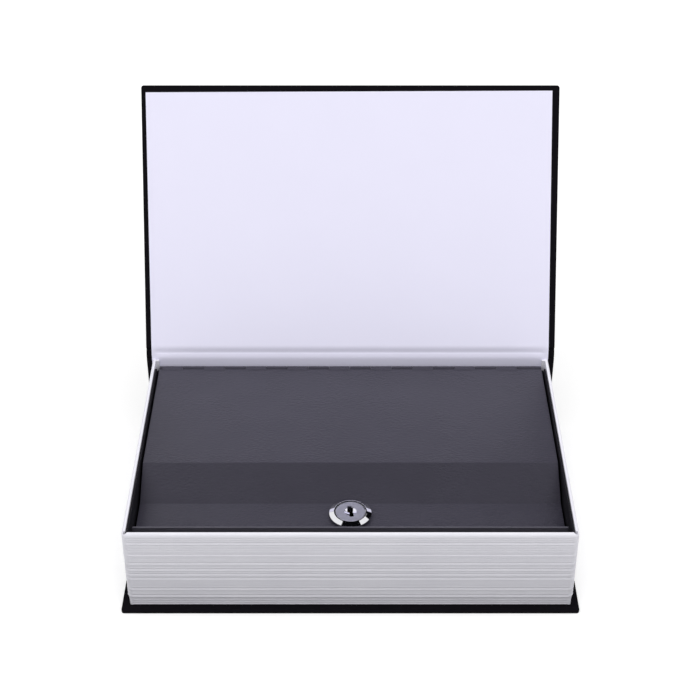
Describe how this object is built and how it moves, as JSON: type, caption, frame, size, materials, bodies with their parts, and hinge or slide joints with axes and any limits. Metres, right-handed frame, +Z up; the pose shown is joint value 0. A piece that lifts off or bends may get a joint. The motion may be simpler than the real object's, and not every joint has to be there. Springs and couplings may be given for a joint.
{
  "type": "book diversion safe",
  "caption": "Safe disguised as a hardback book: cloth cover on a cloth hinge, plastic page frame, steel tray with a hinged steel lid and a wafer cam lock.",
  "frame": {"origin": "on the underside of the back cover, in the middle of the book's width and depth", "axes": "+X along the spine to the right, +Y towards the spine, +Z up through the lid"},
  "size_m": [0.24, 0.2295, 0.1947],
  "materials": {
    "cover_cloth": "coated black book cloth with a fine grain",
    "greyboard": "raw greyboard",
    "lining_paper": "smooth white endpaper, matt",
    "page_plastic": "moulded white plastic, ribbed like page edges",
    "black_steel": "black powder coat",
    "lid_paint": "charcoal powder coat with fine orange peel",
    "lock_chrome": "bright chrome plate",
    "plug_nickel": "satin nickel plate",
    "zinc_steel": "zinc plate",
    "wafer_brass": "stamped brass",
    "spring_steel": "drawn spring wire"
  },
  "bodies": {
    "case": {"case_cloth": "cover_cloth", "back_board": "greyboard", "spine_board": "greyboard", "back_lining": "lining_paper", "spine_lining": "lining_paper", "page_frame": "page_plastic", "steel_tray": "black_steel", "hinge_pin": "zinc_steel", "lock_rail": "black_steel", "tray_rivet_1": "zinc_steel", "tray_rivet_2": "zinc_steel", "tray_rivet_3": "zinc_steel", "tray_rivet_4": "zinc_steel"},
    "front_cover": {"front_cloth": "cover_cloth", "front_board": "greyboard", "front_lining": "lining_paper"},
    "lid": {"safe_lid": "lid_paint", "lock_body": "lock_chrome", "lock_washer": "zinc_steel", "lock_nut": "zinc_steel"},
    "plug": {"lock_plug": "plug_nickel", "lock_cam": "zinc_steel", "cam_washer": "zinc_steel", "cam_screw": "zinc_steel", "wafer_spring_1": "spring_steel", "wafer_spring_2": "spring_steel", "wafer_spring_3": "spring_steel", "wafer_spring_4": "spring_steel"},
    "first_wafer": {"wafer_1": "wafer_brass"},
    "second_wafer": {"wafer_2": "wafer_brass"},
    "third_wafer": {"wafer_3": "wafer_brass"},
    "fourth_wafer": {"wafer_4": "wafer_brass"}
  },
  "joints": [
    {"name": "cover_hinge", "type": "hinge", "parent": "case", "child": "front_cover", "pos_m": [0, 0.078, 0.0537], "axis": [-1, 0, 0], "range_deg": [-116.6, 80]},
    {"name": "lid_hinge", "type": "hinge", "parent": "case", "child": "lid", "pos_m": [0, 0.074, 0.0471], "axis": [-1, 0, 0], "range_deg": [0, 100]},
    {"name": "plug_turn", "type": "hinge", "parent": "lid", "child": "plug", "pos_m": [0, -0.0464, 0.0386], "axis": [0, 0, -1], "range_deg": [0, 90]},
    {"name": "wafer_slide_1", "type": "slide", "parent": "plug", "child": "first_wafer", "axis": [0, 1, 0], "range_m": [0, 0.0008], "deforming": ["wafer_spring_1"]},
    {"name": "wafer_slide_2", "type": "slide", "parent": "plug", "child": "second_wafer", "axis": [0, 1, 0], "range_m": [0, 0.0008], "deforming": ["wafer_spring_2"]},
    {"name": "wafer_slide_3", "type": "slide", "parent": "plug", "child": "third_wafer", "axis": [0, 1, 0], "range_m": [0, 0.0008], "deforming": ["wafer_spring_3"]},
    {"name": "wafer_slide_4", "type": "slide", "parent": "plug", "child": "fourth_wafer", "axis": [0, 1, 0], "range_m": [0, 0.0008], "deforming": ["wafer_spring_4"]}
  ]
}
